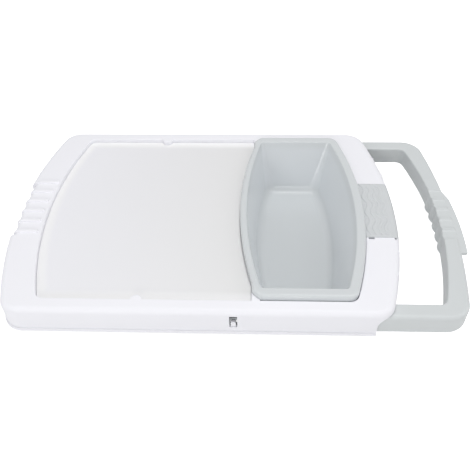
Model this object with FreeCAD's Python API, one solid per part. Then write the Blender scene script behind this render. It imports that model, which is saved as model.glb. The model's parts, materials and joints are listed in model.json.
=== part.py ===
"""Over-sink cutting board: frame, lift-out board and basin, and a pull-out handle.

Millimetres. X runs from the frame's plain end to the handle, Y from front to rear, Z up.
The pieces are drawn about the middle of the frame, with z = 0 at the foot of its skirt,
and are all moved together at the end, so that the row's origin is under the middle of
the whole object, at the level of its lowest point.
"""
import FreeCAD
import Part

import math
import os

V = FreeCAD.Vector
UP = V(0, 0, 1)
SIDES = {"front": -1, "rear": 1}
NEAR = 0.01                   # how close an edge lies to a plane to count as in it
PAST = 1.0                    # how far a cutting tool runs past a face

# --- Frame ---------------------------------------------------------------------------
LENGTH = 432.4                # of the frame, over the middles of its bowed ends
HALF_DEPTH = 150.2
HEIGHT = 31.0
END_R = 460.0                 # bow of both ends
CORNER_R = 22.0
EDGE_R = 6.5                  # rounding round the deck's upper edge
WALL = 2.5
LIP_BOTTOM = 22.3             # underside of the basin's ledge, and of the deck's right lip
SKIRT_END = 178.5             # where the skirt stops, to let the handle out
SKIRT_END_R = 10.0
RIB_Y = (-96.0, -64.0, 64.0, 96.0)   # ribs under the deck's two ends
RIB_HALF = 1.0
RIB_LOW = 12.0
FOOT_BEAD = 1.6               # bead round the foot of the skirt: how far it stands out
FOOT_BEAD_H = 3.4
FOOT_BEAD_R = 1.3

# --- Recess for the board and the basin ----------------------------------------------
END_MARGIN = 35.7             # from the deck's end to the recess
RECESS_HALF = 133.7
RECESS_R = 10.0
RECESS_EDGE_R = 0.8
LEDGE_TOP = 26.7              # under the basin's rim
BOARD_LEDGE = 20.5            # under the board
BAY_HALF = 121.5              # openings inside the ledge
BAY_R = 15.0
BAY_END_IN = 3.5              # the ledge is this much narrower at the plain end
BAY_GAP = 3.6                 # from the basin's mouth to the bay round it
BRIDGE = 13.0                 # width of the board's ledge beside the basin
BRIDGE_R = 6.0
BRIDGE_RIB_IN = 6.0           # from the basin's rim to the rib under the bridge
BRIDGE_RIB_LOW = 8.0

# --- Cutting board ---------------------------------------------------------------------
BOARD_GAP = 0.3               # round the board, in the recess
BOARD_LIFT = 0.2              # between the board and its ledge
BOARD_DROP = 4.3              # its top lies this much lower than the deck
BOARD_TOP = HEIGHT - BOARD_DROP
BOARD_EDGE_R = 0.4
BOARD_CORNER = 2.5
KEY_X = -58.5                 # locating keys on the long sides of the recess
KEY_Y = 134.0
KEY_R = 6.0
KEY_EDGE_R = 1.0

# --- Basin -------------------------------------------------------------------------------
RIM_LEFT = 40.6
RIM_RIGHT = 180.0
RIM_HALF = 132.8
RIM_R = 436.0                 # bow of the side towards the board
RIM_RIGHT_R = 424.0
RIM_CORNER = 12.0
RIM_EAR_Y = 113.0             # from here out the rim's board side runs straight
RIM_EAR_CUT = 8.5             # corner cut off the ear
RIM_EAR_R = 7.0
CUT_SHARE = 0.6               # of an inset, by which a cut corner's leg changes
RIM_TOP = HEIGHT + 5.4
RIM_EDGE_R = 3.0
MOUTH_LEFT = 48.0
MOUTH_RIGHT = 170.0
MOUTH_HALF = 121.8
MOUTH_LEFT_R = 455.0
MOUTH_RIGHT_R = 412.0
MOUTH_CORNER = 4.0
FLOOR_LEFT = 62.0
FLOOR_RIGHT = 147.5
FLOOR_HALF = 97.0
FLOOR_R = 404.0
FLOOR_CORNER = 14.0
FLOOR_Z = -25.0
BASIN_WALL = 2.2
BASIN_FLOOR_R = 10.5
BASIN_LIP_R = 1.5
BASIN_GAP = 0.3               # from the foot of the rim to the ledge

# --- Pull-out handle, drawn at its full reach ------------------------------------------------
TRAVEL = 73.0
ARM_HALF = 145.9              # outside of the arms
ARM_WIDTH = 18.2
ARM_TOP = 21.6
ARM_END = -55.0               # inner ends of the arms
ARM_STEP_X = 178.0            # inward of this the arms are shallower, over the brackets
ARM_STEP_Z = 3.0
ARM_LOW_X = 134.0             # inward of this they are lower too, under the board's ledge
ARM_LOW_TOP = 17.6
BOW_OUTER = 282.6
BOW_OUTER_R = 732.0
BOW_INNER = 266.5
BOW_INNER_R = 448.0
BOW_CORNER = 25.0
BOW_INNER_CORNER = 9.0
HANDLE_WALL = 2.4
HANDLE_EDGE_R = 4.5           # outer upper edges
HANDLE_INNER_R = 1.8          # inner upper edges

# --- Ribbed grips: six crests each, with five fingers' room between them ---------------------
GRIP_PITCH = 17.0
CRESTS = 6
HANDLE_CREST_Y = 47.5         # the rearmost crest of the handle's grip
VALLEY_DEPTH = 1.2
VALLEY_WIDTH = 14.2
VALLEY_R = 3.0                # rounding of a valley's two sides
LOBE_Y = 37.0                 # the rearmost finger lobe inside the bow
LOBE_R = 16.0
LOBE_KEPT = 0.2               # share of the lobe's cone that is kept, towards the hand
LOBE_OUT = 2.2                # how far a lobe stands out at its foot
LOBE_TAPER = 1.8              # and how much of that is gone at its top
FLANGE_OUT = 6.2              # thin flange outside the bow
FLANGE_START = 44.0           # it ramps out from here, rear to front
FLANGE_REAR = 31.0
FLANGE_REAR_OUT = 4.2
FLANGE_MIDDLE = -12.0
FLANGE_FRONT = -56.0
FLANGE_LOW = 15.6
FLANGE_TOP = 20.2
FLANGE_R = 1.4
LEFT_CREST_Y = 45.0           # the rearmost crest of the left grip
CREST_BACK = 3.6              # from the recess to the crests' inner ends
CREST_LONG_BACK = 2.2         # the same for the rearmost crest, which is longer
CREST_WIDTH = 4.8
CREST_OUT = 1.3               # how far a crest stands out at the end of the deck
CREST_UP = 1.9                # and over the top of the deck
CREST_LOW = 12.0
CREST_R = 1.7
CREST_END_R = 2.1
LEFT_GRIP_REAR = 43.0
LEFT_GRIP_FRONT = -45.5
LEFT_GRIP_IN = 4.6            # how far the grip is set in from the end of the deck

# --- Soft pad in the deck's right edge --------------------------------------------------------
PAD_HALF = 45.0
PAD_DEPTH = 2.0
PAD_WRAP = 1.5                # thickness where it wraps over the edge
PAD_TOP = HEIGHT + 0.3
PAD_LOW = LIP_BOTTOM + 0.6
RIDGES = 4
RIDGE_PITCH = 6.4
RIDGE_FIRST = 4.4             # from the pad's inner edge to the first ridge
RIDGE_WIDTH = 4.4             # at its root, sunk in the pad
RIDGE_HEIGHT = 0.8
RIDGE_ROOT = 1.4              # how far it is sunk
RIDGE_EDGE_R = 1.5
RIDGE_WAVE = 26.0
RIDGE_PEAK = 8.0
RIDGE_SWING = 2.0
RIDGE_END = 0.6               # from the ridges' rear ends to the pad's
RIDGE_POINTS = 10             # to each wave
STOP_WIDTH = 3.2              # raised bar at the pad's front end
SLIT_LENGTHS = {"inner": 6.5, "outer": 2.5}
SLIT_WIDTH = 2.4              # openings in front of the bar
SLIT_LOW = 25.5

# --- Guides, brackets and catches --------------------------------------------------------------
SLIDE_GAP = 0.4
GUIDE_FROM = -140.0
GUIDE_TO = 160.0
BRACKET_X = {"inner": -45.0, "outer": 85.0}
BRACKET_HALF = 14.0
BRACKET_INSIDE = 114.5        # |y| of the bracket's inner edge
BRACKET_LOW = 0.3
BRACKET_TOP = 2.7
BRACKET_R = 2.0
BOSS_Y = 120.0
BOSS_R = 3.6
BOSS_TOP = 12.5
SCREW_OUT = 9.0               # screws, each side of the bracket's middle
SCREW_R = 1.5
SCREW_HEAD_R = 2.8
SCREW_LENGTH = 10.0
SCREW_SLOT = 0.7
SCREW_CROSS = 1.8             # reach of the cross from the screw's middle
WINDOW_X = 38.0
WINDOW_HALF = 3.9
WINDOW_LOW = 9.2
WINDOW_TOP = 25.6
TONGUE_HALF = 2.5
TONGUE_TOP = 17.4
TONGUE_R = 2.1
PEG_LOW = 11.0
PEG_TOP = 13.2
PEG_GAP = 0.5                 # each side of the peg, in the arm's slot
PEG_SHORT = 0.6               # from the peg's end to the inside of the arm's wall
SLOT_LOW = 8.9
SLOT_TOP = 15.2

# --- Rest pads ---------------------------------------------------------------------------------
REST_DROP = 1.0               # how far the rubber stands below the skirt
REST_SEAT = 1.6
REST_PLATE = 2.4
REST_PLATE_MORE = 8.0         # how much wider than the rubber the plate is
REST_PLATE_PAST = 6.0         # and how far it runs past the rubber's ends
REST_R = 2.0
LEFT_REST_WIDTH = 12.0
LEFT_REST_IN = 7.5            # from the end of the deck to the rubber
LEFT_REST_FROM = 28.0
LEFT_REST_TO = 92.0
HANDLE_REST_FROM = 40.0
HANDLE_REST_TO = 92.0
HANDLE_REST_WIDTH = 8.0
COVER_GAP = 0.1               # between the handle's cover and its walls
COVER_PAST = 14.0             # how far the cover runs past the rest pads


def box(x0, x1, y0, y1, z0, z1):
    return Part.makeBox(x1 - x0, y1 - y0, z1 - z0, V(x0, y0, z0))


def rod(radius, start, along, length):
    return Part.makeCylinder(radius, length, start, along)


def flat_edges(shape, z):
    """Edges that lie in the level plane z."""
    found = []
    for edge in shape.Edges:
        span = edge.BoundBox
        if abs(span.ZMin - z) < NEAR and abs(span.ZMax - z) < NEAR:
            found.append(edge)
    return found


def upright_edges(shape):
    found = []
    for edge in shape.Edges:
        span = edge.BoundBox
        if span.ZLength > NEAR and span.XLength < NEAR and span.YLength < NEAR:
            found.append(edge)
    return found


def arc_x(end, radius, y):
    """x at y on an end that bows out to x = end, to the right for a positive radius."""
    drop = abs(radius) - math.sqrt(radius ** 2 - y ** 2)
    return end - math.copysign(drop, radius)


def pillow(left, right, half, r_left, r_right, low, high, corner):
    """Upright slab with straight long sides, bowed ends and rounded corners."""
    x_left = arc_x(left, -r_left, half)
    x_right = arc_x(right, r_right, half)
    corners = [V(x_left, -half, low), V(x_right, -half, low),
               V(x_right, half, low), V(x_left, half, low)]
    edges = [Part.LineSegment(corners[0], corners[1]).toShape(),
             Part.Arc(corners[1], V(right, 0, low), corners[2]).toShape(),
             Part.LineSegment(corners[2], corners[3]).toShape(),
             Part.Arc(corners[3], V(left, 0, low), corners[0]).toShape()]
    solid = Part.Face(Part.Wire(edges)).extrude(UP * (high - low))
    if corner > 0:
        solid = solid.makeFillet(corner, upright_edges(solid))
    return solid


def deck_outline(inset, low, high):
    end = LENGTH / 2 - inset
    return pillow(-end, end, HALF_DEPTH - inset, END_R - inset, END_R - inset,
                  low, high, CORNER_R - inset)


def recess_outline(grow, low, high):
    end = LENGTH / 2 - END_MARGIN + grow
    radius = END_R - END_MARGIN + grow
    return pillow(-end, end, RECESS_HALF + grow, radius, radius, low, high, RECESS_R + grow)


def ear_start(inset):
    """Where the bowed side of the rim, moved in by inset, turns into the straight ear."""
    x = arc_x(RIM_LEFT, -RIM_R, RIM_EAR_Y) + inset
    radius = RIM_R - inset
    drop = x - RIM_LEFT - inset
    return x, math.sqrt(radius ** 2 - (radius - drop) ** 2)


def rim_outline(inset, low, high):
    """Plan of the rim: bowed sides, with cut-off ears where it meets the board."""
    half = RIM_HALF - inset
    slab = pillow(RIM_LEFT + inset, RIM_RIGHT - inset, half, RIM_R - inset, RIM_RIGHT_R - inset,
                  low, high, 0)
    slab = slab.makeFillet(RIM_CORNER - inset, [e for e in upright_edges(slab)
                                                if e.BoundBox.XMin > RIM_RIGHT / 2])
    x, y = ear_start(inset)
    for side in SIDES.values():
        y0, y1 = sorted((side * y, side * half))
        slab = slab.fuse(box(x, x + RIM_CORNER * 2, y0, y1, low, high))
    slab = slab.removeSplitter()
    corners = [e for e in upright_edges(slab) if abs(e.BoundBox.XMin - x) < NEAR
               and abs(abs(e.BoundBox.YMin) - half) < NEAR]
    slab = slab.makeChamfer(RIM_EAR_CUT - CUT_SHARE * inset, corners)
    cut_ends = [e for e in upright_edges(slab) if e.BoundBox.XMin < x + RIM_CORNER
                and abs(e.BoundBox.YMin) > y + NEAR]
    return slab.makeFillet(RIM_EAR_R, cut_ends)


def basin_side(gap, low, high):
    """Everything from the rim's board side to the right, for fitting the board to it."""
    solid = pillow(RIM_LEFT - gap, LENGTH * 2, HALF_DEPTH * 2, RIM_R + gap, LENGTH * 2, low, high, 0)
    x, y = ear_start(-gap)
    for side in SIDES.values():
        y0, y1 = sorted((side * y, side * HALF_DEPTH * 2))
        solid = solid.fuse(box(x, LENGTH * 2, y0, y1, low, high))
    return solid


def board_recess(grow, low, high):
    return recess_outline(grow, low, high).cut(basin_side(-grow, low - PAST, high + PAST))


def mouth_outline(grow, low, high):
    return pillow(MOUTH_LEFT - grow, MOUTH_RIGHT + grow, MOUTH_HALF + grow,
                  MOUTH_LEFT_R + grow, MOUTH_RIGHT_R + grow, low, high, MOUTH_CORNER + grow)


def basin_block(grow, top, bottom):
    """Tapered block between the basin's mouth and its floor, both grown sideways."""
    mouth = mouth_outline(grow, top, top + PAST)
    floor = pillow(FLOOR_LEFT - grow, FLOOR_RIGHT + grow, FLOOR_HALF + grow,
                   FLOOR_R + grow, FLOOR_R + grow, bottom, bottom + PAST, FLOOR_CORNER + grow)
    wires = []
    for slab, level in ((mouth, top), (floor, bottom)):
        face = [f for f in slab.Faces if f.BoundBox.ZMax < level + NEAR][0]
        wires.append(face.OuterWire)
    return Part.makeLoft(wires, True, True)


def grip_rows(first, count):
    """y of the rows of a grip, from rear to front."""
    return [first - GRIP_PITCH * k for k in range(count)]


# --- Frame pieces -------------------------------------------------------------------------
def frame_shell():
    """Deck, skirt and recess, hollow from below and open at the right under the lip."""
    solid = deck_outline(0, 0, HEIGHT)
    solid = solid.makeFillet(EDGE_R, flat_edges(solid, HEIGHT))
    bead = deck_outline(-FOOT_BEAD, 0, FOOT_BEAD_H)
    solid = solid.fuse(bead.makeFillet(FOOT_BEAD_R, flat_edges(bead, FOOT_BEAD_H)))
    solid = solid.cut(recess_outline(0, LEDGE_TOP, HEIGHT + PAST))
    opening = [e for e in flat_edges(solid, HEIGHT) if e.BoundBox.YMax < RECESS_HALF + NEAR
               and e.BoundBox.YMin > -RECESS_HALF - NEAR
               and abs(e.BoundBox.Center.x) < LENGTH / 2 - END_MARGIN + NEAR]
    solid = solid.makeFillet(RECESS_EDGE_R, opening)
    hollow = deck_outline(WALL, -PAST, HEIGHT - WALL)
    hollow = hollow.makeFillet(EDGE_R - WALL, flat_edges(hollow, HEIGHT - WALL))
    hollow = hollow.cut(recess_outline(WALL, LIP_BOTTOM, HEIGHT))
    hollow = hollow.cut(board_recess(WALL, BOARD_LEDGE - WALL, HEIGHT))
    hollow = hollow.cut(pad_backing())
    hollow = hollow.cut(left_grip_backing())
    solid = solid.cut(hollow)
    way_out = box(SKIRT_END, LENGTH, -LENGTH, LENGTH, -PAST, LIP_BOTTOM)
    corner = [e for e in flat_edges(way_out, LIP_BOTTOM) if e.BoundBox.XMax < SKIRT_END + NEAR]
    return solid.cut(way_out.makeFillet(SKIRT_END_R, corner))


def pad_backing():
    """What is left solid behind the pad's pocket."""
    slab = box(LENGTH / 4, LENGTH, -PAD_HALF - SLIT_WIDTH - WALL, PAD_HALF + WALL,
               LIP_BOTTOM, HEIGHT)
    return slab.cut(pad_seat(WALL))


def left_grip_backing():
    """What is left solid behind the set-in grip at the plain end."""
    slab = box(-LENGTH, 0, LEFT_GRIP_FRONT - WALL, LEFT_GRIP_REAR + WALL, -PAST, HEIGHT)
    return slab.cut(deck_outline(WALL + LEFT_GRIP_IN, -LENGTH, LENGTH))


def left_grip_tool():
    """Sets the plain end in where the grip is, with the deck's own rounding."""
    zone = box(-LENGTH, 0, LEFT_GRIP_FRONT, LEFT_GRIP_REAR, -PAST, HEIGHT + PAST)
    keep = deck_outline(LEFT_GRIP_IN, -LENGTH, HEIGHT)
    keep = keep.makeFillet(EDGE_R, flat_edges(keep, HEIGHT))
    return zone.cut(keep.fuse(deck_outline(LEFT_GRIP_IN + EDGE_R, HEIGHT - PAST, LENGTH)))


def left_crest(y, back):
    """Rounded bar over the deck's edge at the plain end."""
    top = HEIGHT + CREST_UP
    over = deck_outline(LEFT_GRIP_IN - CREST_OUT, 0, top)
    over = over.makeFillet(EDGE_R + CREST_OUT, flat_edges(over, top))
    inner_x = arc_x(END_MARGIN - LENGTH / 2, END_MARGIN - END_R, y) - back
    half = CREST_WIDTH / 2
    bar = over.common(box(-LENGTH, inner_x, y - half, y + half, CREST_LOW, LENGTH))
    bar = bar.cut(deck_outline(LEFT_GRIP_IN + WALL, 0, HEIGHT - WALL))
    ends = [e for e in upright_edges(bar) if e.BoundBox.XMin > inner_x - NEAR]
    bar = bar.makeFillet(CREST_END_R, ends)
    crown = [e for e in bar.Edges if e.BoundBox.ZMax > top - NEAR
             and (e.BoundBox.YLength < NEAR or e.BoundBox.ZLength < NEAR)
             and not e.BoundBox.XLength < NEAR]
    return bar.makeFillet(CREST_R, crown)


def pad_seat(inset):
    """The rounded shoulder of the deck under the pad, moved further in by inset."""
    top = HEIGHT - PAD_DEPTH - inset
    solid = deck_outline(PAD_WRAP + inset, 0, top)
    return solid.makeFillet(EDGE_R - PAD_WRAP - inset, flat_edges(solid, top))


def pad_pocket():
    """Pocket for the soft pad, through the deck's right edge."""
    slab = box(0, LENGTH, -PAD_HALF, PAD_HALF, LIP_BOTTOM - PAST, HEIGHT + PAST)
    slab = slab.cut(recess_outline(0, -PAST, HEIGHT + LENGTH))
    slab = slab.cut(pad_seat(0))
    inner = arc_x(LENGTH / 2 - END_MARGIN, END_R - END_MARGIN, PAD_HALF)
    outer = arc_x(LENGTH / 2, END_R, PAD_HALF) - EDGE_R / 2
    spans = [(inner + WALL, inner + WALL + SLIT_LENGTHS["inner"]),
             (outer - SLIT_LENGTHS["outer"], outer)]
    for x0, x1 in spans:
        slab = slab.fuse(box(x0, x1, -PAD_HALF - SLIT_WIDTH, -PAD_HALF + PAST,
                             SLIT_LOW, HEIGHT + PAST))
    return slab


def bays():
    """Openings inside the ledge, under the board and round the basin."""
    ledge = RECESS_HALF - BAY_HALF
    left = -LENGTH / 2 + END_MARGIN + ledge - BAY_END_IN
    radius = END_R - END_MARGIN - ledge
    low = -PAST
    under_board = pillow(left, LENGTH, BAY_HALF, radius, LENGTH, low, HEIGHT, BAY_R)
    under_board = under_board.cut(pillow(RIM_LEFT - BRIDGE, LENGTH * 2, HALF_DEPTH * 2,
                                         RIM_R + BRIDGE, LENGTH * 2, low - PAST, HEIGHT + PAST, 0))
    under_board = under_board.makeFillet(BRIDGE_R, [e for e in upright_edges(under_board)
                                                    if e.BoundBox.XMin > left / 2])
    return under_board, mouth_outline(BAY_GAP, low, HEIGHT)


def bridge_rib():
    """Rib under the bridge between the two bays, following its bow."""
    left = RIM_LEFT - BRIDGE_RIB_IN
    outer = pillow(left, LENGTH, BAY_HALF + WALL, RIM_R, LENGTH * 2, BRIDGE_RIB_LOW, LIP_BOTTOM, 0)
    inner = pillow(left + WALL, LENGTH * 2, HALF_DEPTH, RIM_R, LENGTH * 3, 0, HEIGHT, 0)
    return outer.cut(inner).common(box(-LENGTH, RIM_RIGHT, -HALF_DEPTH, HALF_DEPTH, 0, HEIGHT))


def guide_walls(side):
    """Inner wall of one arm's channel, with screw bosses and pads that steady the arm."""
    inside = ARM_HALF - ARM_WIDTH - SLIDE_GAP
    y_wall = sorted((side * (inside - WALL), side * inside))
    solid = box(GUIDE_FROM, GUIDE_TO, y_wall[0], y_wall[1], ARM_STEP_Z, LIP_BOTTOM)
    for x in BRACKET_X.values():
        y_pad = sorted((side * (ARM_HALF + SLIDE_GAP), side * (HALF_DEPTH - WALL)))
        solid = solid.fuse(box(x - BRACKET_HALF, x + BRACKET_HALF, y_pad[0], y_pad[1],
                               BRACKET_TOP, LIP_BOTTOM))
        for step in (-SCREW_OUT, SCREW_OUT):
            boss = rod(BOSS_R, V(x + step, side * BOSS_Y, BRACKET_TOP), UP, BOSS_TOP - BRACKET_TOP)
            y_web = sorted((side * BOSS_Y, y_wall[0] if side > 0 else y_wall[1]))
            web = box(x + step - BOSS_R / 2, x + step + BOSS_R / 2, y_web[0], y_web[1],
                      BRACKET_TOP, BOSS_TOP)
            hole = rod(SCREW_R, V(x + step, side * BOSS_Y, 0), UP, SCREW_LENGTH + BRACKET_LOW)
            solid = solid.fuse(boss).fuse(web).cut(hole)
    return solid


def left_rest_plate():
    """Floor strip inside the plain end, which carries the rubber rest pads."""
    outer = deck_outline(WALL / 2, REST_SEAT, REST_SEAT + REST_PLATE)
    inner = deck_outline(WALL + LEFT_REST_WIDTH + REST_PLATE_MORE, 0, HEIGHT)
    span = LEFT_REST_TO + REST_PLATE_PAST
    return outer.cut(inner).common(box(-LENGTH, 0, -span, span, 0, HEIGHT))


def corner_fill(side):
    """Deck-high fillet in the recess, beside the cut-off corner of the rim's ear."""
    x = ear_start(0)[0]
    y0, y1 = sorted((side * (RIM_HALF - RIM_EAR_CUT - RIM_EAR_R), side * (RECESS_HALF + WALL)))
    solid = box(x, x + RIM_EAR_CUT, y0, y1, LIP_BOTTOM, HEIGHT)
    return solid.cut(rim_outline(-BOARD_GAP, 0, HEIGHT * 2))


def key(side):
    """Round locating key on a long side of the recess, flush with the deck."""
    solid = rod(KEY_R, V(KEY_X, side * KEY_Y, BOARD_LEDGE - PAST), UP, HEIGHT - BOARD_LEDGE + PAST)
    return solid.makeFillet(KEY_EDGE_R, flat_edges(solid, HEIGHT))


def stiffeners():
    """Ribs under the deck's two ends."""
    solids = []
    for y in RIB_Y:
        left = arc_x(-LENGTH / 2 + WALL / 2, -END_R, y)
        inner = arc_x(-LENGTH / 2 + END_MARGIN, -END_R, y)
        for x0, x1, low in ((left, inner, RIB_LOW), (-inner, -left, LIP_BOTTOM)):
            solids.append(box(x0, x1, y - RIB_HALF, y + RIB_HALF, low, HEIGHT - WALL / 2))
    return solids


def deck_frame():
    solid = frame_shell()
    for bay in bays():
        solid = solid.cut(bay)
    extra = [bridge_rib(), left_rest_plate()] + stiffeners()
    for side in SIDES.values():
        extra.append(guide_walls(side))
    for piece in extra:
        solid = solid.fuse(piece)
    solid = solid.cut(board_recess(0, BOARD_LEDGE, HEIGHT - 2 * RECESS_EDGE_R))
    for side in SIDES.values():
        solid = solid.fuse(key(side)).fuse(corner_fill(side))
        y0, y1 = sorted((side * (HALF_DEPTH - WALL - PAST), side * (HALF_DEPTH + 2 * PAST)))
        solid = solid.cut(box(WINDOW_X - WINDOW_HALF, WINDOW_X + WINDOW_HALF, y0, y1,
                              WINDOW_LOW, WINDOW_TOP))
    solid = solid.cut(pad_pocket())
    solid = solid.cut(left_grip_tool())
    for k, y in enumerate(grip_rows(LEFT_CREST_Y, CRESTS)):
        solid = solid.fuse(left_crest(y, CREST_BACK if k else CREST_LONG_BACK))
    return solid.removeSplitter()


def ridge(middle):
    """One wavy ridge of the pad, a rounded band between two waves that run front to rear."""
    steps = int(RIDGE_POINTS * 2 * PAD_HALF / RIDGE_WAVE)
    start = -PAD_HALF + STOP_WIDTH / 2
    length = PAD_HALF - RIDGE_END - start
    low = PAD_TOP - RIDGE_ROOT
    sides = []
    for offset in (-RIDGE_WIDTH / 2, RIDGE_WIDTH / 2):
        points = []
        for i in range(steps + 1):
            y = start + length * i / steps
            swing = RIDGE_SWING * math.cos(2 * math.pi * (y - RIDGE_PEAK) / RIDGE_WAVE)
            x = arc_x(middle, END_R - END_MARGIN / 2, y) + swing + offset
            points.append(V(x, y, low))
        curve = Part.BSplineCurve()
        curve.interpolate(points)
        sides.append((curve.toShape(), points))
    caps = [Part.LineSegment(sides[0][1][k], sides[1][1][k]).toShape() for k in (0, -1)]
    wire = Part.Wire([sides[0][0], caps[1], sides[1][0], caps[0]])
    solid = Part.Face(wire).extrude(UP * (PAD_TOP + RIDGE_HEIGHT - low))
    return solid.makeFillet(RIDGE_EDGE_R, flat_edges(solid, PAD_TOP + RIDGE_HEIGHT))


def grip_pad():
    slab = deck_outline(0, PAD_LOW, PAD_TOP)
    slab = slab.makeFillet(EDGE_R, flat_edges(slab, PAD_TOP))
    slab = slab.common(box(0, LENGTH, -PAD_HALF, PAD_HALF, 0, PAD_TOP + PAST))
    slab = slab.cut(recess_outline(0, -PAST, HEIGHT + LENGTH))
    solid = slab.cut(pad_seat(0))
    inner = LENGTH / 2 - END_MARGIN
    for k in range(RIDGES):
        solid = solid.fuse(ridge(inner + RIDGE_FIRST + RIDGE_PITCH * k))
    stop = box(inner - STOP_WIDTH, LENGTH, -PAD_HALF, -PAD_HALF + STOP_WIDTH,
               PAD_TOP - RIDGE_HEIGHT / 2, PAD_TOP + RIDGE_HEIGHT)
    stop = stop.common(deck_outline(EDGE_R, 0, LENGTH)).cut(recess_outline(0, 0, LENGTH))
    return solid.fuse(stop).removeSplitter()


def bracket(side, x):
    y0, y1 = sorted((side * BRACKET_INSIDE, side * (HALF_DEPTH - WALL - SLIDE_GAP)))
    solid = box(x - BRACKET_HALF, x + BRACKET_HALF, y0, y1, BRACKET_LOW, BRACKET_TOP)
    solid = solid.makeFillet(BRACKET_R, upright_edges(solid))
    for step in (-SCREW_OUT, SCREW_OUT):
        solid = solid.cut(screw_blank(x + step, side * BOSS_Y))
    return solid


def screw_blank(x, y):
    """Countersunk head and shank, head flush with the underside of the bracket."""
    head = Part.makeCone(SCREW_HEAD_R, SCREW_R, SCREW_HEAD_R - SCREW_R, V(x, y, BRACKET_LOW), UP)
    return head.fuse(rod(SCREW_R, V(x, y, BRACKET_LOW), UP, SCREW_LENGTH))


def screw(x, y):
    """Screw with a cross recess in its head."""
    half = SCREW_SLOT / 2
    reach = SCREW_CROSS
    low = BRACKET_LOW - PAST
    top = BRACKET_LOW + SCREW_SLOT
    cross = box(x - reach, x + reach, y - half, y + half, low, top)
    cross = cross.fuse(box(x - half, x + half, y - reach, y + reach, low, top))
    return screw_blank(x, y).cut(cross)


def bracket_screws(side, x):
    screws = [screw(x + step, side * BOSS_Y) for step in (-SCREW_OUT, SCREW_OUT)]
    return Part.makeCompound(screws)


def catch(side):
    """Springy tongue in the skirt's window, with a peg that reaches into the arm's slot."""
    face = side * HALF_DEPTH
    y0, y1 = sorted((face, side * (HALF_DEPTH - WALL)))
    solid = box(WINDOW_X - TONGUE_HALF, WINDOW_X + TONGUE_HALF, y0, y1,
                WINDOW_LOW + SLIDE_GAP, TONGUE_TOP)
    tips = [e for e in solid.Edges if e.BoundBox.ZMin > TONGUE_TOP - NEAR
            and e.BoundBox.XLength < NEAR]
    solid = solid.makeFillet(TONGUE_R, tips)
    root = WALL / 2
    heel = box(WINDOW_X - TONGUE_HALF, WINDOW_X + TONGUE_HALF, y0, y1,
               WINDOW_LOW, WINDOW_LOW + SLIDE_GAP + root)
    hinge_at = V(WINDOW_X - TONGUE_HALF, side * (HALF_DEPTH - root), WINDOW_LOW + SLIDE_GAP + root)
    solid = solid.cut(heel).fuse(rod(root, hinge_at, V(1, 0, 0), 2 * TONGUE_HALF))
    reach = ARM_HALF - HANDLE_WALL + PEG_SHORT
    y0, y1 = sorted((side * reach, side * (HALF_DEPTH - WALL / 2)))
    peg = box(WINDOW_X - TONGUE_HALF, WINDOW_X + TONGUE_HALF, y0, y1, PEG_LOW, PEG_TOP)
    return solid.fuse(peg).removeSplitter()


def left_rest(side):
    """Rubber strip under the plain end, bowed as the end is."""
    outer = deck_outline(LEFT_REST_IN, -REST_DROP, REST_SEAT)
    strip = outer.cut(deck_outline(LEFT_REST_IN + LEFT_REST_WIDTH, -LENGTH, LENGTH))
    y0, y1 = sorted((side * LEFT_REST_FROM, side * LEFT_REST_TO))
    strip = strip.common(box(-LENGTH, 0, y0, y1, -LENGTH, LENGTH))
    return strip.makeFillet(REST_R, upright_edges(strip))


# --- Board and basin ------------------------------------------------------------------------
def cutting_board():
    """Sheet that fills its recess, notched for the keys and bowed in beside the basin."""
    solid = recess_outline(-BOARD_GAP, BOARD_LEDGE + BOARD_LIFT, BOARD_TOP)
    solid = solid.cut(basin_side(BOARD_GAP, 0, HEIGHT * 2))
    tips = [e for e in upright_edges(solid) if e.BoundBox.XMin > 0
            and abs(e.BoundBox.YMin) > RECESS_HALF - BOARD_GAP - NEAR]
    solid = solid.makeFillet(BOARD_CORNER, tips)
    for side in SIDES.values():
        solid = solid.cut(rod(KEY_R + BOARD_GAP, V(KEY_X, side * KEY_Y, 0), UP, HEIGHT * 2))
    return solid.makeFillet(BOARD_EDGE_R, flat_edges(solid, BOARD_TOP))


def basin_tray():
    """Deep tray with a hollow, downturned rim."""
    rim = rim_outline(0, LEDGE_TOP + BASIN_GAP, RIM_TOP)
    rim = rim.makeFillet(RIM_EDGE_R, flat_edges(rim, RIM_TOP))
    rim = rim.cut(rim_outline(BASIN_WALL, 0, RIM_TOP - BASIN_WALL))
    outside = basin_block(BASIN_WALL, RIM_TOP - BASIN_WALL / 2, FLOOR_Z - BASIN_WALL)
    outside = outside.makeFillet(BASIN_FLOOR_R + BASIN_WALL,
                                 flat_edges(outside, FLOOR_Z - BASIN_WALL))
    inside = basin_block(0, RIM_TOP, FLOOR_Z)
    inside = inside.makeFillet(BASIN_FLOOR_R, flat_edges(inside, FLOOR_Z))
    solid = rim.fuse(outside).cut(inside).removeSplitter()
    lip = [e for e in flat_edges(solid, RIM_TOP) if e.BoundBox.YMax < MOUTH_HALF + PAST
           and e.BoundBox.YMin > -MOUTH_HALF - PAST and e.BoundBox.XMin > MOUTH_LEFT - PAST
           and e.BoundBox.XMax < MOUTH_RIGHT + PAST]
    return solid.makeFillet(BASIN_LIP_R, lip)


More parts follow.
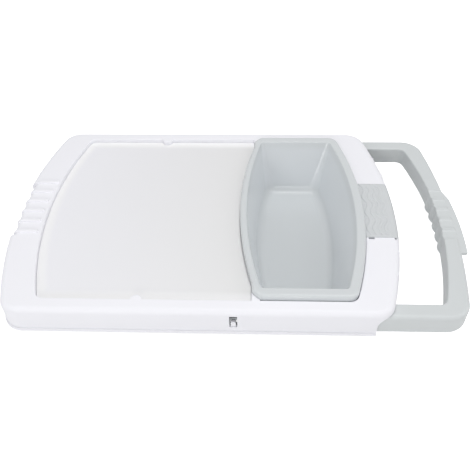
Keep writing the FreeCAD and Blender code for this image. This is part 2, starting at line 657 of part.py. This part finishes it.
# --- Handle pieces ---------------------------------------------------------------------------
def handle_plan(inset, low, high):
    """U of the handle, two arms and the bow, with its walls moved in by inset."""
    outer = pillow(ARM_END + inset, BOW_OUTER - inset, ARM_HALF - inset, BOW_OUTER_R * 50,
                   BOW_OUTER_R - inset, low, high, 0)
    right = [e for e in upright_edges(outer) if e.BoundBox.XMin > 0]
    outer = outer.makeFillet(BOW_CORNER - inset, right)
    inner = pillow(-LENGTH, BOW_INNER + inset, ARM_HALF - ARM_WIDTH + inset, LENGTH,
                   BOW_INNER_R + inset, low - PAST, high + PAST, 0)
    right = [e for e in upright_edges(inner) if e.BoundBox.XMin > 0]
    return outer, inner.makeFillet(BOW_INNER_CORNER + inset, right)


def flange():
    """Thin flange outside the bow: ramped at the rear, stepped at the front."""
    def outside(y, out):
        return V(arc_x(BOW_OUTER, BOW_OUTER_R, y) + out, y, FLANGE_LOW)
    inside = BOW_OUTER - 2 * HANDLE_EDGE_R
    rear = outside(FLANGE_REAR, FLANGE_REAR_OUT)
    middle = outside(FLANGE_MIDDLE, FLANGE_OUT)
    front = outside(FLANGE_FRONT, FLANGE_OUT)
    corners = [front, V(inside, FLANGE_FRONT, FLANGE_LOW), V(inside, FLANGE_START, FLANGE_LOW),
               outside(FLANGE_START, 0), rear]
    edges = [Part.LineSegment(corners[k], corners[k + 1]).toShape() for k in range(4)]
    edges.append(Part.Arc(rear, middle, front).toShape())
    solid = Part.Face(Part.Wire(edges)).extrude(UP * (FLANGE_TOP - FLANGE_LOW))
    step = [e for e in upright_edges(solid) if e.BoundBox.YMax < FLANGE_FRONT + NEAR
            and e.BoundBox.XMin > BOW_OUTER]
    solid = solid.makeFillet(FLANGE_R, step)
    outer = [e for e in flat_edges(solid, FLANGE_TOP) + flat_edges(solid, FLANGE_LOW)
             if e.BoundBox.XMax > BOW_OUTER]
    return solid.makeFillet(FLANGE_R, outer)


def valley(y):
    """Finger's room between two crests: a shallow cut with rounded sides, across the bow."""
    axis = VALLEY_WIDTH / 2 - math.sqrt(VALLEY_R ** 2 - (VALLEY_R - VALLEY_DEPTH) ** 2)
    low = ARM_TOP - VALLEY_DEPTH
    x = BOW_INNER - LOBE_R
    solid = box(x, x + LENGTH, y - axis, y + axis, low, low + 2 * VALLEY_R)
    for side in (-axis, axis):
        solid = solid.fuse(rod(VALLEY_R, V(x, y + side, low + VALLEY_R), V(1, 0, 0), LENGTH))
    return solid


def lobe(y):
    """Upright finger lobe on the inside of the bow, which dies out towards the top."""
    x = arc_x(BOW_INNER, BOW_INNER_R, y) - LOBE_OUT + LOBE_R
    whole = Part.makeCone(LOBE_R, LOBE_R - LOBE_TAPER, ARM_TOP - HANDLE_INNER_R, V(x, y, 0), UP)
    return whole.common(box(x - LOBE_R, x - LOBE_R * (1 - LOBE_KEPT), y - LOBE_R, y + LOBE_R, 0, ARM_TOP))


def handle_frame():
    outer, inner = handle_plan(0, 0, ARM_TOP)
    round_edges = [e for e in flat_edges(outer, ARM_TOP) if e.BoundBox.XMax > ARM_END + PAST]
    solid = outer.makeFillet(HANDLE_EDGE_R, round_edges).cut(inner)
    inner_edges = [e for e in flat_edges(solid, ARM_TOP) if e.BoundBox.YLength > NEAR
                   and e.BoundBox.XMax < BOW_INNER + NEAR and e.BoundBox.XMin > ARM_END + PAST
                   or e.BoundBox.YLength < NEAR and abs(e.BoundBox.YMin) < ARM_HALF - ARM_WIDTH + NEAR]
    solid = solid.makeFillet(HANDLE_INNER_R, inner_edges)
    solid = solid.fuse(flange())
    for y in grip_rows(LOBE_Y, CRESTS - 1):
        solid = solid.fuse(lobe(y))
    hollow_outer, hollow_inner = handle_plan(HANDLE_WALL, -PAST, ARM_TOP - HANDLE_WALL)
    hollow = hollow_outer.cut(hollow_inner)
    hollow = hollow.cut(box(ARM_END, ARM_LOW_X + HANDLE_WALL, -HALF_DEPTH, HALF_DEPTH,
                            ARM_LOW_TOP - HANDLE_WALL, HEIGHT))
    solid = solid.cut(hollow)
    solid = solid.cut(box(ARM_END - PAST, ARM_LOW_X, -HALF_DEPTH, HALF_DEPTH, ARM_LOW_TOP, HEIGHT))
    solid = solid.cut(box(ARM_END - PAST, ARM_STEP_X, -HALF_DEPTH, HALF_DEPTH, -PAST, ARM_STEP_Z))
    for side in SIDES.values():
        y0, y1 = sorted((side * (ARM_HALF + PAST), side * (ARM_HALF - HANDLE_WALL - PAST)))
        solid = solid.cut(box(WINDOW_X - TONGUE_HALF - PEG_GAP,
                              WINDOW_X + TRAVEL + TONGUE_HALF + PEG_GAP,
                              y0, y1, SLOT_LOW, SLOT_TOP))
    for y in grip_rows(HANDLE_CREST_Y - GRIP_PITCH / 2, CRESTS - 1):
        solid = solid.cut(valley(y))
    return solid.removeSplitter()


def handle_cover():
    """Strip that closes the grip of the bow from below."""
    outer, inner = handle_plan(HANDLE_WALL + COVER_GAP, 0, HANDLE_WALL)
    strip = outer.cut(inner)
    half = HANDLE_REST_TO + COVER_PAST
    return strip.common(box(ARM_STEP_X, LENGTH, -half, half, -PAST, HEIGHT))


def handle_rest(side):
    """Rubber strip stuck to the handle's cover."""
    middle = (BOW_OUTER + BOW_INNER) / 2
    radius = (BOW_OUTER_R + BOW_INNER_R) / 2
    half = HANDLE_REST_WIDTH / 2
    strip = pillow(-LENGTH, middle + half, HALF_DEPTH, LENGTH, radius, -REST_DROP, 0, 0)
    strip = strip.cut(pillow(-LENGTH * 2, middle - half, HALF_DEPTH * 1.2, LENGTH, radius,
                             -LENGTH, LENGTH, 0))
    y0, y1 = sorted((side * HANDLE_REST_FROM, side * HANDLE_REST_TO))
    strip = strip.common(box(0, LENGTH, y0, y1, -LENGTH, LENGTH))
    return strip.makeFillet(REST_R, upright_edges(strip))


def build_all():
    pieces = {"deck_frame": deck_frame(), "grip_pad": grip_pad(),
              "cutting_board": cutting_board(), "basin_tray": basin_tray(),
              "handle_frame": handle_frame(), "handle_cover": handle_cover()}
    for name, side in SIDES.items():
        pieces[name + "_catch"] = catch(side)
        pieces[name + "_left_rest_pad"] = left_rest(side)
        pieces[name + "_handle_rest_pad"] = handle_rest(side)
        for place, x in BRACKET_X.items():
            pieces[name + "_" + place + "_bracket"] = bracket(side, x)
            pieces[name + "_" + place + "_screws"] = bracket_screws(side, x)
    return pieces


def save_all(pieces):
    os.makedirs("parts", exist_ok=True)
    whole = Part.makeCompound(list(pieces.values())).optimalBoundingBox()
    to_origin = V(-whole.Center.x, 0, -whole.ZMin)
    print("moved by", to_origin)
    for name, shape in pieces.items():
        shape.translate(to_origin)
        shape.exportStep("parts/" + name + ".step")
        span = shape.optimalBoundingBox()
        print("%-26s %9.0f mm3 %d solids valid %s  x %.1f..%.1f y %.1f..%.1f z %.1f..%.1f" % (
            name, shape.Volume, len(shape.Solids), shape.isValid(), span.XMin, span.XMax,
            span.YMin, span.YMax, span.ZMin, span.ZMax))


save_all(build_all())
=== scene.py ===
"""Looks of the over-sink cutting board: finishes, light and the photograph's viewpoint.

Lengths are in metres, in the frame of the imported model, unless a comment says millimetres.
The CAD solids keep their shapes, and nothing is added to them.
"""

import json
import math

import bpy
from mathutils import Matrix, Vector

MM = 0.001
FRAME_MIDDLE = (-36.46, 0.0, 27.2)    # millimetres: the frame's middle, at its skirt's foot

# --- Viewpoint -------------------------------------------------------------------------------
LENS_PLACE = (62.1, -489.1, 472.8)    # millimetres, from FRAME_MIDDLE
TILT_DOWN = 44.69                     # degrees below the horizon
TURN_LEFT = 3.08                      # degrees, from looking straight to the rear
ROLL = -1.64                          # degrees
FOCAL_PIXELS = 575.9
PICTURE_PIXELS = 470                  # width and height
CENTRE_PIXEL = (236.7, 235.0)         # where the lens's axis meets the picture
SENSOR = 36.0                         # millimetres

# --- Light -----------------------------------------------------------------------------------
WHITE = (1.0, 1.0, 1.0, 1.0)
WORLD_LEVEL = 0.43                    # the same white from all sides
LIGHT_AIM = (-0.02, 0.0, 0.05)
SOFTBOXES = {                         # place, size and power in watts
    "top_softbox": ((0.1, 0.25, 1.45), (1.2, 0.3), 8.3),
    "handle_end_softbox": ((1.4, -0.1, 0.8), (1.0, 1.4), 4.8),
    "low_softbox": ((-0.25, -1.3, 0.5), (1.0, 0.3), 4.7),
    "near_softbox": ((-0.5, -0.6, 0.65), (0.5, 0.5), 0.6),
    "plain_end_softbox": ((-1.3, 0.0, 0.45), (1.2, 0.6), 1.2),
}
STUDIO_FLOOR_TONE = 0.85
STUDIO_FLOOR_GLOW = 0.72              # makes the floor show white where no deep shadow falls
STUDIO_FLOOR_REACH = 6.0              # from the middle to each side
STUDIO_FLOOR_DROP = 0.0002            # keeps the floor clear of the object's underside

# --- Finishes --------------------------------------------------------------------------------
# Colours are levels from 0 to 255. Grain is the strength of the fine mould texture, bump that
# of the surface's slight unevenness, and drift the share by which the tone varies slowly.
PLASTIC_IOR = 1.47
DRIFT = 0.02
DRIFT_DENSITY = 9.0                   # noise cells of the drift in a metre
ROUGHNESS_DRIFT = 0.12                # share by which the roughness varies with the tone
GRAIN_SIZE = 0.0004
GRAIN_HEIGHT = 0.0002
BUMP_SIZE = 0.03
BUMP_HEIGHT = 0.001
PLAIN_FINISHES = {
    "white_moulding": {"levels": (243, 243, 248), "roughness": 0.48, "grain": 0.12, "bump": 0.1},
    "white_bracket": {"levels": (238, 238, 242), "roughness": 0.5, "grain": 0.2},
    "grey_handle": {"levels": (211, 215, 216), "roughness": 0.36, "grain": 0.15, "bump": 0.08},
    "soft_grip": {"levels": (209, 212, 214), "roughness": 0.6, "grain": 0.4},
    "rest_rubber": {"levels": (150, 152, 155), "roughness": 0.75, "grain": 0.5},
    "screw_steel": {"levels": (190, 190, 195), "roughness": 0.3, "metallic": 1.0},
}

# --- Board: a milky sheet, with painted light over the white ledge and painted shade by the basin ---
BOARD_LOOK = {"levels": (247, 247, 252), "roughness": 0.42, "grain": 0.25,
              "grain_size": 0.0006, "drift": 0.01}
BOARD_PAINTED_SHADE_AT_BASIN = (237, 237, 237)      # painted shade: the levels above fade to these beside the basin
# painted light: paler where light comes back up through the sheet from the white ledge under it
BOARD_PAINTED_LIGHT_OVER_LEDGE = (254, 254, 255)
BOARD_IOR = 1.49
BOARD_CLEAR = 0.08                    # share of the light that goes through
BOARD_MILK = 0.05                     # share that spreads inside the sheet
BOARD_SPREAD = 2.5                    # millimetres that it spreads
BOARD_FROM = -180.0                   # millimetres: the board's ends, from the frame's middle
BOARD_TO = 55.0
LEDGE_LEFT = -171.8                   # millimetres: the ledge's inner edge at the plain end,
LEDGE_R = 412.0                       # which is an arc of this radius,
LEDGE_HALF = 123.0                    # and at the front and the rear, from the middle
LEDGE_SOFT = 5.0                      # millimetres that the sheet blurs the edge each way

# --- Basin: painted light on its thin walls, for light they let through; none on rim and floor ---
BASIN_LOOK = {"levels": (212, 216, 218), "roughness": 0.16, "grain": 0.03, "bump": 0.15}
# painted light: the walls' colour, paler for the light that comes through them
BASIN_WALLS_PAINTED_LIGHT = (217, 221, 224)
WALLS_END_HIGH = 60.0                 # millimetres over the basin's underside: no painted light from here up,
WALLS_FULL_HIGH = 52.0                # all of it between these two,
WALLS_FULL_LOW = 16.0
WALLS_END_LOW = 4.0                   # and none from here down

# Sockets of a Mix node that mixes colours.
MIX_FACTOR = 0
MIX_FIRST = 6
MIX_SECOND = 7
MIX_RESULT = 2


def node(tree, kind, **values):
    """Adds a shader node and sets its inputs, or its own settings, by name."""
    made = tree.nodes.new(kind)
    for name, value in values.items():
        plain = name.replace("_", " ")
        if plain in made.inputs:
            made.inputs[plain].default_value = value
        else:
            setattr(made, name, value)
    return made


def maths(tree, operation, *terms):
    """Output of a maths node; each term is a number or another node's output."""
    made = node(tree, "ShaderNodeMath", operation=operation)
    for k, term in enumerate(terms):
        if isinstance(term, (int, float)):
            made.inputs[k].default_value = term
        else:
            tree.links.new(term, made.inputs[k])
    return made.outputs[0]


def ramp(tree, value, start, end, smooth=True):
    """0 at start and before it, 1 at end and past it; end may be the lower of the two."""
    made = node(tree, "ShaderNodeMapRange", From_Min=start, From_Max=end)
    if smooth:
        made.interpolation_type = "SMOOTHSTEP"
    tree.links.new(value, made.inputs["Value"])
    return made.outputs["Result"]


def noise(tree, place, density, detail):
    """Output of a noise texture, spread over the object's own coordinates."""
    made = node(tree, "ShaderNodeTexNoise", Scale=density, Detail=detail)
    tree.links.new(place, made.inputs["Vector"])
    return made.outputs["Fac"]


def object_place(tree):
    """Output of the object's own coordinates, which are the frame's."""
    return node(tree, "ShaderNodeTexCoord").outputs["Object"]


def object_axes(tree):
    """Outputs x, y and z of the object's own coordinates."""
    axes = node(tree, "ShaderNodeSeparateXYZ")
    tree.links.new(object_place(tree), axes.inputs[0])
    return axes.outputs[0], axes.outputs[1], axes.outputs[2]


def srgb(levels):
    """Linear colour from 0-255 levels, by the sRGB curve."""
    out = []
    for level in levels:
        v = level / 255
        out.append(v / 12.92 if v <= 0.04045 else ((v + 0.055) / 1.055) ** 2.4)
    return (*out, 1.0)


def plastic(name, levels, roughness, grain=0.0, grain_size=GRAIN_SIZE, drift=DRIFT, bump=0.0,
            metallic=0.0):
    """Moulded plastic: slow drift of tone, fine mould texture, slight unevenness."""
    mat = bpy.data.materials.new(name)
    mat.use_nodes = True
    tree = mat.node_tree
    shader = tree.nodes["Principled BSDF"]
    shader.inputs["Roughness"].default_value = roughness
    shader.inputs["IOR"].default_value = PLASTIC_IOR
    shader.inputs["Metallic"].default_value = metallic
    place = object_place(tree)
    slow = noise(tree, place, DRIFT_DENSITY, detail=3.0)

    red, green, blue, opaque = srgb(levels)
    darker = [c * (1 - drift) for c in (red, green, blue)]
    lighter = [min(1, c * (1 + drift)) for c in (red, green, blue)]
    tone = node(tree, "ShaderNodeMix", data_type="RGBA")
    tone.inputs[MIX_FIRST].default_value = (*darker, opaque)
    tone.inputs[MIX_SECOND].default_value = (*lighter, opaque)
    tree.links.new(slow, tone.inputs[MIX_FACTOR])
    tree.links.new(tone.outputs[MIX_RESULT], shader.inputs["Base Color"])

    rough = node(tree, "ShaderNodeMapRange")
    rough.inputs["To Min"].default_value = roughness * (1 - ROUGHNESS_DRIFT)
    rough.inputs["To Max"].default_value = roughness * (1 + ROUGHNESS_DRIFT)
    tree.links.new(slow, rough.inputs["Value"])
    tree.links.new(rough.outputs["Result"], shader.inputs["Roughness"])

    fine = noise(tree, place, 1 / (2 * grain_size), detail=2.0)
    grain_bump = node(tree, "ShaderNodeBump", Strength=grain, Distance=GRAIN_HEIGHT)
    tree.links.new(fine, grain_bump.inputs["Height"])
    wave = noise(tree, place, 1 / BUMP_SIZE, detail=1.0)
    wave_bump = node(tree, "ShaderNodeBump", Strength=bump, Distance=BUMP_HEIGHT)
    tree.links.new(wave, wave_bump.inputs["Height"])
    tree.links.new(grain_bump.outputs["Normal"], wave_bump.inputs["Normal"])
    tree.links.new(wave_bump.outputs["Normal"], shader.inputs["Normal"])
    return mat


def lay_over(mat, share, levels):
    """Mixes another colour over a material's base colour, by a node's output."""
    tree = mat.node_tree
    base = tree.nodes["Principled BSDF"].inputs["Base Color"]
    mix = node(tree, "ShaderNodeMix", data_type="RGBA")
    tree.links.new(share, mix.inputs[MIX_FACTOR])
    tree.links.new(base.links[0].from_socket, mix.inputs[MIX_FIRST])
    mix.inputs[MIX_SECOND].default_value = srgb(levels)
    tree.links.new(mix.outputs[MIX_RESULT], base)


def milky_board(name):
    """Frosted translucent sheet, with painted light over the white ledge and painted shade by the
    basin.
    """
    mat = plastic(name, **BOARD_LOOK)
    tree = mat.node_tree
    shader = tree.nodes["Principled BSDF"]
    shader.inputs["IOR"].default_value = BOARD_IOR
    shader.inputs["Transmission Weight"].default_value = BOARD_CLEAR
    shader.inputs["Subsurface Weight"].default_value = BOARD_MILK
    shader.inputs["Subsurface Radius"].default_value = (1.0, 1.0, 1.0)
    shader.inputs["Subsurface Scale"].default_value = BOARD_SPREAD * MM
    x, y, _ = object_axes(tree)

    plain_end = (FRAME_MIDDLE[0] + BOARD_FROM) * MM
    basin_end = (FRAME_MIDDLE[0] + BOARD_TO) * MM
    # painted shade: the sheet darkens steadily from the plain end to the basin end
    lay_over(mat, ramp(tree, x, plain_end, basin_end, smooth=False), BOARD_PAINTED_SHADE_AT_BASIN)

    # painted light over the ledge: a band along the plain end's arc and along both long sides
    arc_middle = (FRAME_MIDDLE[0] + LEDGE_LEFT + LEDGE_R) * MM
    along_squared = maths(tree, "POWER", maths(tree, "SUBTRACT", x, arc_middle), 2.0)
    across_squared = maths(tree, "MULTIPLY", y, y)
    from_middle = maths(tree, "SQRT", maths(tree, "ADD", along_squared, across_squared))
    at_end = ramp(tree, from_middle, (LEDGE_R - LEDGE_SOFT) * MM, (LEDGE_R + LEDGE_SOFT) * MM)
    across = maths(tree, "ABSOLUTE", y)
    at_sides = ramp(tree, across, (LEDGE_HALF - LEDGE_SOFT) * MM, (LEDGE_HALF + LEDGE_SOFT) * MM)
    lay_over(mat, maths(tree, "MAXIMUM", at_end, at_sides), BOARD_PAINTED_LIGHT_OVER_LEDGE)
    return mat


def grey_basin(name):
    """Glossy moulding, with painted light making its thin walls paler than its hollow rim and its
    floor.
    """
    mat = plastic(name, **BASIN_LOOK)
    tree = mat.node_tree
    height = object_axes(tree)[2]
    under_rim = ramp(tree, height, WALLS_END_HIGH * MM, WALLS_FULL_HIGH * MM)
    over_floor = ramp(tree, height, WALLS_END_LOW * MM, WALLS_FULL_LOW * MM)
    # painted light on the walls, between the two bands of height
    lay_over(mat, maths(tree, "MULTIPLY", under_rim, over_floor), BASIN_WALLS_PAINTED_LIGHT)
    return mat


def finish_nodes(frame):
    """Gives each CAD node the finish of its material slot."""
    finishes = {name: plastic(name, **look) for name, look in PLAIN_FINISHES.items()}
    finishes["milky_board"] = milky_board("milky_board")
    finishes["grey_basin"] = grey_basin("grey_basin")
    slots = {part["node"]: part["material_slot"] for part in frame["record"]["subparts"]}
    for name, piece in frame["nodes"].items():
        piece.data.materials.clear()
        piece.data.materials.append(finishes[slots[name]])


def make_camera():
    """The photograph's viewpoint."""
    tilt, turn, roll = (math.radians(a) for a in (TILT_DOWN, TURN_LEFT, ROLL))
    forward = Vector((-math.sin(turn) * math.cos(tilt), math.cos(turn) * math.cos(tilt),
                      -math.sin(tilt)))
    across = Vector((math.cos(turn), math.sin(turn), 0))
    upward = across.cross(forward)
    right = math.cos(roll) * across + math.sin(roll) * upward
    top = -math.sin(roll) * across + math.cos(roll) * upward
    data = bpy.data.cameras.new("camera")
    data.sensor_width = SENSOR
    data.lens = FOCAL_PIXELS * SENSOR / PICTURE_PIXELS
    data.shift_x = (PICTURE_PIXELS / 2 - CENTRE_PIXEL[0]) / PICTURE_PIXELS
    data.shift_y = (CENTRE_PIXEL[1] - PICTURE_PIXELS / 2) / PICTURE_PIXELS
    camera = bpy.data.objects.new("camera", data)
    place = (Vector(LENS_PLACE) + Vector(FRAME_MIDDLE)) * MM
    turn_to = Matrix((right, top, -forward)).transposed()
    camera.matrix_world = Matrix.Translation(place) @ turn_to.to_4x4()
    bpy.context.scene.collection.objects.link(camera)
    bpy.context.scene.camera = camera


def area_light(name, place, size, power):
    """A softbox that faces the object."""
    data = bpy.data.lights.new(name, "AREA")
    data.shape = "RECTANGLE"
    data.size, data.size_y = size
    data.energy = power
    lamp = bpy.data.objects.new(name, data)
    lamp.location = place
    lamp.rotation_mode = "QUATERNION"
    lamp.rotation_quaternion = (Vector(LIGHT_AIM) - Vector(place)).to_track_quat("-Z", "Y")
    bpy.context.scene.collection.objects.link(lamp)


def make_world():
    """Even white from all sides, which the camera sees as full white."""
    world = bpy.data.worlds.new("studio")
    world.use_nodes = True
    tree = world.node_tree
    back = tree.nodes["Background"]
    back.inputs["Color"].default_value = WHITE
    to_lens = node(tree, "ShaderNodeLightPath").outputs["Is Camera Ray"]
    extra = maths(tree, "MULTIPLY", to_lens, 1 - WORLD_LEVEL)
    tree.links.new(maths(tree, "ADD", extra, WORLD_LEVEL), back.inputs["Strength"])
    bpy.context.scene.world = world


def floor_material():
    """Pale floor that shows as white to the camera and still takes the object's shadow."""
    mat = bpy.data.materials.new("studio_floor")
    mat.use_nodes = True
    tree = mat.node_tree
    tree.nodes.clear()
    tone = STUDIO_FLOOR_TONE
    matt = node(tree, "ShaderNodeBsdfDiffuse", Color=(tone, tone, tone, 1.0))
    glow = node(tree, "ShaderNodeEmission", Color=WHITE)
    rays = node(tree, "ShaderNodeLightPath")
    mirrored = maths(tree, "MAXIMUM", rays.outputs["Is Glossy Ray"],
                     rays.outputs["Is Transmission Ray"])
    in_mirror = maths(tree, "MULTIPLY", mirrored, 1 - tone)
    seen = maths(tree, "MULTIPLY", rays.outputs["Is Camera Ray"], STUDIO_FLOOR_GLOW)
    tree.links.new(maths(tree, "ADD", seen, in_mirror), glow.inputs["Strength"])
    both = node(tree, "ShaderNodeAddShader")
    out = node(tree, "ShaderNodeOutputMaterial")
    tree.links.new(matt.outputs[0], both.inputs[0])
    tree.links.new(glow.outputs[0], both.inputs[1])
    tree.links.new(both.outputs[0], out.inputs["Surface"])
    return mat


def make_floor():
    """A wide level floor just under the object."""
    reach = STUDIO_FLOOR_REACH
    corners = [(-reach, -reach, 0), (reach, -reach, 0), (reach, reach, 0), (-reach, reach, 0)]
    mesh = bpy.data.meshes.new("floor")
    mesh.from_pydata(corners, [], [(0, 1, 2, 3)])
    mesh.materials.append(floor_material())
    floor = bpy.data.objects.new("floor", mesh)
    floor.location.z = -STUDIO_FLOOR_DROP
    bpy.context.scene.collection.objects.link(floor)


with open("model.json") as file:
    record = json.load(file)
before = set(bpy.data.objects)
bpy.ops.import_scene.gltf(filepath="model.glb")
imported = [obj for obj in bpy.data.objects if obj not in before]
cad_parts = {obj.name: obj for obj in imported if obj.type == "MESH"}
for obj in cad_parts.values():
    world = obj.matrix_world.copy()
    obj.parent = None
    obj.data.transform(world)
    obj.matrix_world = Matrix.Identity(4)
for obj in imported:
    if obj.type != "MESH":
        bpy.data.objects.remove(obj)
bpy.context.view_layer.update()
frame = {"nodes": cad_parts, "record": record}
bpy.context.scene.view_settings.view_transform = "Standard"
make_camera()
make_world()
for light_name, (light_place, light_size, light_power) in SOFTBOXES.items():
    area_light(light_name, light_place, light_size, light_power)
make_floor()
finish_nodes(frame)
